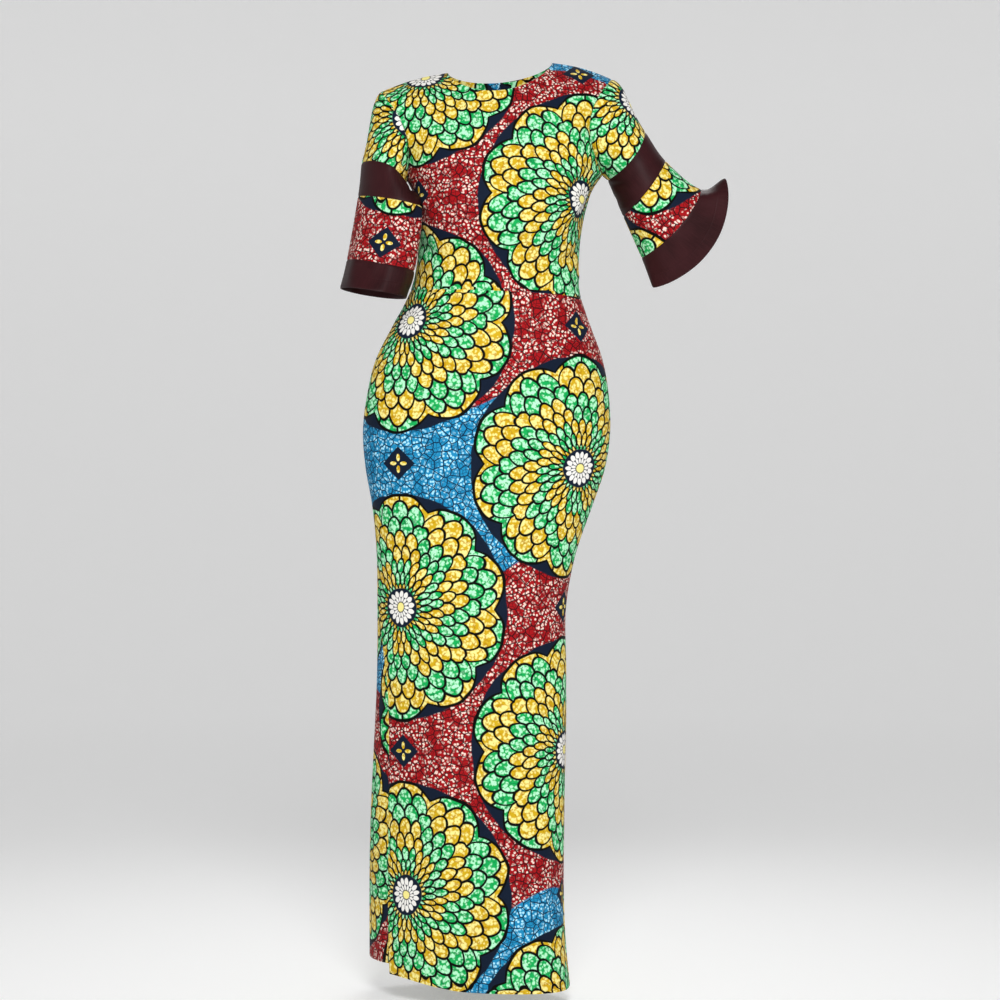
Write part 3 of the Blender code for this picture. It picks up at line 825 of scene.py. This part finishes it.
class Value:
    """What a new node gives out: a number, place or colour, with the sums that a pattern needs."""

    def __init__(self, tree, kind, inputs, output=0, **settings):
        node = tree.nodes.new("ShaderNode" + kind)
        for name, value in settings.items():
            setattr(node, name, value)
        for name, value in inputs.items():
            if isinstance(value, Value):
                value.link(node.inputs[name])
            else:
                node.inputs[name].default_value = value
        self.tree, self.socket = tree, node.outputs[output]

    def link(self, socket):
        self.tree.links.new(self.socket, socket)

    def run(self, operation, *numbers):
        return Value(self.tree, "Math", dict(enumerate(numbers)), operation=operation)

    __add__ = sums("ADD")
    __sub__ = sums("SUBTRACT")
    __mul__ = sums("MULTIPLY")
    __truediv__ = sums("DIVIDE")
    __pow__ = sums("POWER")
    __abs__ = sums("ABSOLUTE")
    floor = sums("FLOOR")
    fract = sums("FRACT")
    root = sums("SQRT")
    sine = sums("SINE")
    arc_tangent = sums("ARCTAN2")
    least = sums("MINIMUM")
    most = sums("MAXIMUM")
    under = sums("LESS_THAN")

    def __rsub__(self, other):
        return self.run("SUBTRACT", other, self)

    def repeated(self, reach):
        """The number brought to between -reach and reach by whole repeats."""
        return self.run("WRAP", self, reach, -reach)

    def ramp(self, start, end, low=0.0, high=1.0):
        """Runs smoothly from low to high as the number goes from start to end."""
        inputs = {"Value": self, "From Min": start, "From Max": end, "To Min": low, "To Max": high}
        return Value(self.tree, "MapRange", inputs, interpolation_type="SMOOTHSTEP")

    def falls(self, start, end):
        return self.ramp(start, end, 1.0, 0.0)

    def pick(self, low, high):
        """low where the number is 0, high where it is 1."""
        return Value(self.tree, "Mix", {0: self, 2: low, 3: high}, data_type="FLOAT")

    def colour(self, low, high):
        """The colour low where the number is 0, high where it is 1."""
        return Value(self.tree, "Mix", {0: self, 6: low, 7: high}, 2, data_type="RGBA")


def moved(place, operation, other, name=1):
    return Value(place.tree, "VectorMath", {0: place, name: other}, operation=operation)


def noise(place, scale, detail=2.0, rough=0.5, distortion=0.0, output="Fac"):
    inputs = {"Vector": place, "Scale": scale, "Detail": detail, "Roughness": rough, "Distortion": distortion}
    return Value(place.tree, "TexNoise", inputs, output, noise_dimensions="2D")


def voronoi(place, scale, feature="F1"):
    settings = {"voronoi_dimensions": "2D", "feature": feature}
    return Value(place.tree, "TexVoronoi", {"Vector": place, "Scale": scale}, "Distance", **settings)


def material_of(name, uniform):
    """A material and its shader, with the values that are the same all over."""
    material = bpy.data.materials.new(name)
    material.use_nodes = True
    shader = material.node_tree.nodes["Principled BSDF"]
    for socket, value in uniform.items():
        shader.inputs[socket].default_value = value
    return material, shader


def cloth_surface(shader, place, thread, depth, slub):
    """Plain weave, slight slubs, and a turned hem's line, as bump."""
    # At scale 1 a wave texture has 20 bands in 2 pi.
    inputs = {"Vector": place, "Scale": 2 * math.pi / (20 * thread)}
    warp, weft = (Value(place.tree, "TexWave", inputs, "Fac", bands_direction=axis) for axis in "XY")
    slubs = noise(place, 240.0, detail=3.0, rough=0.6)
    hem = Value(place.tree, "Attribute", {}, "Fac", attribute_name="hem")
    stitched = abs(hem - HEM_DEPTH).ramp(0.0004, 0.0016, -0.00022, 0.0)
    height = warp * weft * depth + slubs * slub + stitched
    bump = Value(place.tree, "Bump", {"Height": height, "Distance": 1.0, "Strength": 0.8})
    bump.link(shader.inputs["Normal"])


# The print, in metres on the flat cloth: layered round flowers in a half-drop lattice.
LATTICE_ACROSS = 0.286
LATTICE_DOWN = 0.440
FLOWER = 0.173
EYE = 0.030
LOBES = 10
LOBE_POWER = 2.4
LOBE_DEPTH = 0.15
PETALS = 30
PETAL_POWER = 2.2
PETAL_SLOPE = 5.0
RINGS = 7
RING_POWER = 0.86
SCALLOP = 0.60
DAISY_LEAVES = 15
LINE = 0.0018
LINE_EDGE = (LINE * 0.72, LINE * 1.28)
OUTLINE_EXTRA = 0.0006
WAVER = 0.006
# The ground changes from red to blue and back along the cloth.
BAND_REPEAT = 0.800
BLUE_MIDDLE = -0.244
BLUE_HALF_HEIGHT = 0.140
BAND_WAVE = 0.035
BAND_WAVES = 19.0
BAND_EDGE = 0.002
# A diamond in each hollow between flowers: its half width and height, and the leaves in it.
DIAMOND = (0.028, 0.026)
LEAF_MIDDLE = 0.0088
LEAF = (0.0058, 0.0030)

# Plain, pale and deep shades.
GREEN = linear("#16a552"), linear("#b2f2c6"), linear("#0a7a3e")
GOLD = linear("#caa41b"), linear("#f0e48e"), linear("#b28110")
RED = linear("#9c1218"), linear("#ecd3c6"), linear("#2b0c10")
BLUE = linear("#1d84b3"), linear("#a4dcf2"), linear("#0b1f3a")
NAVY = linear("#101b2d")
CREAM = linear("#e9e7e2")
BLACK = linear("#050604")
SATIN = linear("#281113"), linear("#34171a"), linear("#401f21")


def places_of(place):
    return (Value(place.tree, "SeparateXYZ", {0: place}, axis) for axis in "XY")


def wavering(place):
    """The place that hand-drawn lines take, which waver a little."""
    waver = moved(noise(place, 26.0, detail=1.0, output="Color"), "SUBTRACT", (0.5, 0.5, 0.5))
    return moved(place, "ADD", moved(waver, "SCALE", WAVER, "Scale"))


def lattice(u, v):
    """Distances from the nearest even and odd column, then from the nearest even and odd row."""
    half = LATTICE_DOWN / 2
    across = u.repeated(LATTICE_ACROSS), (u - LATTICE_ACROSS).repeated(LATTICE_ACROSS)
    return across + (v.repeated(half), (v - half).repeated(half))


def teeth(turn, count, shift=0.0):
    """Runs from 1 to 0 and back so many times round."""
    return abs((turn * count + shift).fract() * 2 - 1)


def petal_rings(radius, turn):
    """Whether the petal's layer is even, the layer, and distances to its lines and to the outline."""
    share = radius / FLOWER
    out = share / (1 - teeth(turn, LOBES) ** LOBE_POWER * share * share * LOBE_DEPTH)
    depth = ((out - EYE / FLOWER) * (1 / (1 - EYE / FLOWER))).most(0.0)
    layer = depth**RING_POWER * RINGS
    per_layer = depth.most(0.02) ** (1 - RING_POWER) * ((FLOWER - EYE) / RINGS / RING_POWER)
    side_even, side_odd = teeth(turn, PETALS), teeth(turn, PETALS, 0.5)
    edge_even, edge_odd = ((1 - side**PETAL_POWER) * SCALLOP for side in (side_even, side_odd))
    below_even = ((layer - edge_even) * 0.5).floor() * 2
    below_odd = ((layer - edge_odd - 1) * 0.5).floor() * 2 + 1
    is_even = below_even.under(below_odd)
    ring = below_even.least(below_odd) + 2

    def true_distance(gap, side):
        """From layers to metres, square to a petal's edge."""
        return gap * per_layer / (side ** (2 * PETAL_POWER - 2) * PETAL_SLOPE + 1).root()

    own_side, inner_side = is_even.pick(side_odd, side_even), is_even.pick(side_even, side_odd)
    own_edge, inner_edge = is_even.pick(edge_odd, edge_even), is_even.pick(edge_even, edge_odd)
    to_edge = true_distance(ring + own_edge - layer, own_side)
    to_inner = true_distance(layer - ring + 1 - inner_edge, inner_side)
    to_side = (1 - own_side) * radius * (math.pi / PETALS)
    return is_even, ring, to_edge.least(to_inner).least(to_side), (layer - RINGS) * per_layer


def petal_colours(place, gold, to_rim):
    """Green and gold petals with wax marbling, deeper along their lines, and the gold by itself."""
    cells = noise(place, 80.0, detail=3.0, rough=0.6) - voronoi(place, 175.0) * 0.62
    pale = cells.ramp(0.12, 0.36)
    veins = noise(place, 170.0, distortion=0.6).ramp(0.54, 0.70, 0.0, 0.8)
    green, yellow = (veins.colour(pale.colour(dye[0], dye[1]), dye[2]) for dye in (GREEN, GOLD))
    rimmed = to_rim.ramp(0.0010, 0.0034, 0.35, 0.0)
    return rimmed.colour(gold.colour(green, yellow), gold.colour(GREEN[2], GOLD[2])), yellow


def with_daisy(petals, eye, turn):
    """The petals with the flower's eye in their middle: a small daisy on navy."""
    leaf, short_leaf = teeth(turn, DAISY_LEAVES), teeth(turn, DAISY_LEAVES, 0.5)
    daisy = (eye + leaf**2 * 0.22).falls(0.84, 0.88) * ((1 - leaf) * eye).ramp(0.07, 0.12)
    inner = (eye + short_leaf**2 * 0.18).falls(0.52, 0.56)
    inner_leaf = inner * ((1 - short_leaf) * eye).ramp(0.05, 0.10)
    centre = (daisy * eye.ramp(0.50, 0.56)).colour(NAVY, CREAM)
    centre = inner.colour(centre, NAVY)
    centre = (inner_leaf * eye.ramp(0.24, 0.30)).colour(centre, CREAM)
    centre = eye.falls(0.20, 0.24).colour(centre, GOLD[1])
    return eye.falls(0.98, 1.03).colour(petals, centre)


def ground_colours(place, drawn, leaf_colour):
    """Bubbles and crackle on red, with bands of blue, and a diamond of leaves in each hollow."""
    patch = noise(place, 45.0)
    bubbles = voronoi(place, 185.0).falls(0.26, 0.40) * patch.ramp(0.36, 0.56)
    cracks = voronoi(drawn, 84.0, "DISTANCE_TO_EDGE").falls(0.03, 0.10)
    fine_cracks = voronoi(drawn, 150.0, "DISTANCE_TO_EDGE").ramp(0.03, 0.10, 0.75, 0.0)
    cracks = cracks.most(fine_cracks * patch.ramp(0.62, 0.40))
    red, blue = (cracks.colour(bubbles.colour(dye[0], dye[1]), dye[2]) for dye in (RED, BLUE))
    u, v = places_of(place)
    band = (v + (u * BAND_WAVES).sine() * BAND_WAVE - BLUE_MIDDLE) / BAND_REPEAT
    edge = BLUE_HALF_HEIGHT / BAND_REPEAT
    ground = abs(band.repeated(0.5)).falls(edge - BAND_EDGE, edge + BAND_EDGE).colour(red, blue)

    even_u, odd_u, even_v, odd_v = lattice(u, v)
    in_even = abs(even_u).under(abs(odd_u))
    x, y = abs(in_even.pick(odd_u, even_u)), abs(in_even.pick(even_v, odd_v))
    diamond = x / DIAMOND[0] + y / DIAMOND[1]
    ground = diamond.falls(0.97, 1.0).colour(ground, NAVY)
    leaf = ((x.most(y) - LEAF_MIDDLE) / LEAF[0]) ** 2 + (x.least(y) / LEAF[1]) ** 2
    return leaf.falls(0.86, 1.0).colour(ground, leaf_colour)


def wax_print():
    uniform = {"Roughness": 0.72, "Specular IOR Level": 0.07, "Sheen Weight": 0.02, "Sheen Roughness": 0.45}
    material, shader = material_of("wax_print", uniform)
    place = Value(material.node_tree, "UVMap", {}, uv_map="cloth")
    drawn = wavering(place)

    # The nearest flower, in an even or an odd column.
    even_u, odd_u, even_v, odd_v = lattice(*places_of(drawn))
    odd = (odd_u * odd_u + odd_v * odd_v).under(even_u * even_u + even_v * even_v)
    x, y = odd.pick(even_u, odd_u), odd.pick(even_v, odd_v)
    radius = (x * x + y * y).root()
    turn = y.arc_tangent(x) / (2 * math.pi)
    is_even, ring, to_line, to_outline = petal_rings(radius, turn)
    in_flower = to_outline.under(0.0)
    to_rim = abs(to_outline) - OUTLINE_EXTRA
    line = (to_line.falls(*LINE_EDGE) * in_flower).most(to_rim.falls(*LINE_EDGE))

    # Petals change colour by pairs of layers and by lobe.
    petal = (turn * PETALS + is_even.pick(0.5, 0.0)).floor()
    sector = ((petal + is_even.pick(0.02, 0.52)) * (LOBES / PETALS)).floor()
    zone = ((ring - 0.5) * 0.5).floor()
    gold = ((sector + zone + odd) * 0.5).fract() * 2
    petals, yellow = petal_colours(place, gold, to_line.least(to_rim))
    eye = radius / EYE
    petals = with_daisy(petals, eye, turn)
    ground = ground_colours(place, drawn, yellow)
    # Navy fills the notches between the lobes.
    ground = (radius / FLOWER).falls(0.992, 1.004).colour(ground, NAVY)
    colour = in_flower.colour(ground, petals)
    (line * eye.ramp(0.98, 1.03)).colour(colour, BLACK).link(shader.inputs["Base Color"])
    cloth_surface(shader, place, thread=0.0009, depth=0.000016, slub=0.0001)
    return material


def brown_satin():
    material, shader = material_of("brown_satin", {"Specular IOR Level": 0.08})
    place = Value(material.node_tree, "UVMap", {}, uv_map="cloth")
    fine = noise(moved(place, "MULTIPLY", (1.0, 0.04, 1.0)), 900.0)
    tone = noise(place, 16.0).ramp(0.30, 0.70).colour(SATIN[0], SATIN[1])
    fine.ramp(0.35, 0.75, 0.0, 0.30).colour(tone, SATIN[2]).link(shader.inputs["Base Color"])
    fine.ramp(0.2, 0.8, 0.42, 0.52).link(shader.inputs["Roughness"])
    cloth_surface(shader, place, thread=0.0006, depth=0.000008, slub=0.00003)
    return material


# ---- Studio: a pale round floor that turns up into a wall all round, soft lights and a camera ----

FLOOR_DROP = 0.024
FLOOR_SIDES = 96
COVE_START = 6.0
COVE = 2.5
COVE_STEPS = 12
WALL_TOP = 6.0
WHITE = (1.0, 1.0, 1.0, 1.0)
FLOOR_LOOK = {
    "Base Color": (0.72, 0.72, 0.72, 1.0),
    "Roughness": 0.9,
    "Emission Color": WHITE,
    "Emission Strength": 0.33,
}
# Place, what the light points at, size and power.
LIGHTS = {
    "key": ((0.15, -4.0, 1.6), (0.0, 0.0, -0.55), 1.5, 27.5),
    "fill": ((0.9, -4.4, -0.5), (0.0, 0.0, -0.75), 1.6, 4.0),
    "back": ((0.4, 2.4, 1.7), (0.0, 0.0, -0.6), 2.0, 9.0),
}
LIGHT_SPREAD = 75
AMBIENT = 0.10
CAMERA_PLACE = (0.003115, -4.6, -0.66038)
CAMERA_SENSOR = 36.0
CAMERA_LENS = 106.32


def studio_floor():
    turns = np.linspace(0, math.pi / 2, COVE_STEPS)
    radius = np.concatenate([[0.0], COVE_START + COVE * np.sin(turns), [COVE_START + COVE]])
    height = np.concatenate([[0.0], COVE * (1 - np.cos(turns)), [WALL_TOP]]) + HEM - FLOOR_DROP
    angle = np.radians(np.arange(0, 360, 360 / FLOOR_SIDES))[:, None]
    points = np.broadcast_arrays(radius * np.cos(angle), radius * np.sin(angle), height)
    corners = cell_corners(np.ones((FLOOR_SIDES, len(radius) - 1)))
    faces = corners[..., 0] % FLOOR_SIDES * len(radius) + corners[..., 1]
    mesh, _ = mesh_of("studio_floor", np.stack(points, axis=-1).reshape(-1, 3), faces)
    mesh.shade_smooth()
    mesh.materials.append(material_of("studio_floor", FLOOR_LOOK)[0])
    return placed("studio_floor", mesh)


def studio():
    studio_floor()
    for name, (place, target, size, power) in LIGHTS.items():
        data = bpy.data.lights.new(name, "AREA")
        data.shape, data.size, data.energy = "DISK", size, power
        data.spread = math.radians(LIGHT_SPREAD)
        lamp = placed(name, data)
        lamp.location = place
        x, y, z = np.subtract(target, place)
        tilt = math.atan2(z, math.hypot(x, y))
        lamp.rotation_euler = (math.pi / 2 + tilt, 0, math.atan2(y, x) - math.pi / 2)
    world = bpy.data.worlds.new("studio")
    world.use_nodes = True
    background = world.node_tree.nodes["Background"]
    background.inputs["Color"].default_value = WHITE
    background.inputs["Strength"].default_value = AMBIENT
    bpy.context.scene.world = world

    data = bpy.data.cameras.new("camera")
    data.sensor_width = CAMERA_SENSOR
    data.lens = CAMERA_LENS
    camera = placed("camera", data)
    camera.location = CAMERA_PLACE
    camera.rotation_euler = (math.pi / 2, 0, 0)
    bpy.context.scene.camera = camera
    bpy.context.scene.view_settings.view_transform = "Standard"


def main():
    cloths = [*bodice_cloths(), *skirt_cloths(), *sleeve_cloths("right"), *sleeve_cloths("left")]
    share_rim_normals(cloths)
    looks = {"wax_print": wax_print(), "brown_satin": brown_satin()}
    for cloth in cloths:
        obj = build_shell(cloth)
        obj.data.materials.append(looks[cloth.slot])
        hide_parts(cloth.name)
        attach(obj, "root")
    studio()


main()
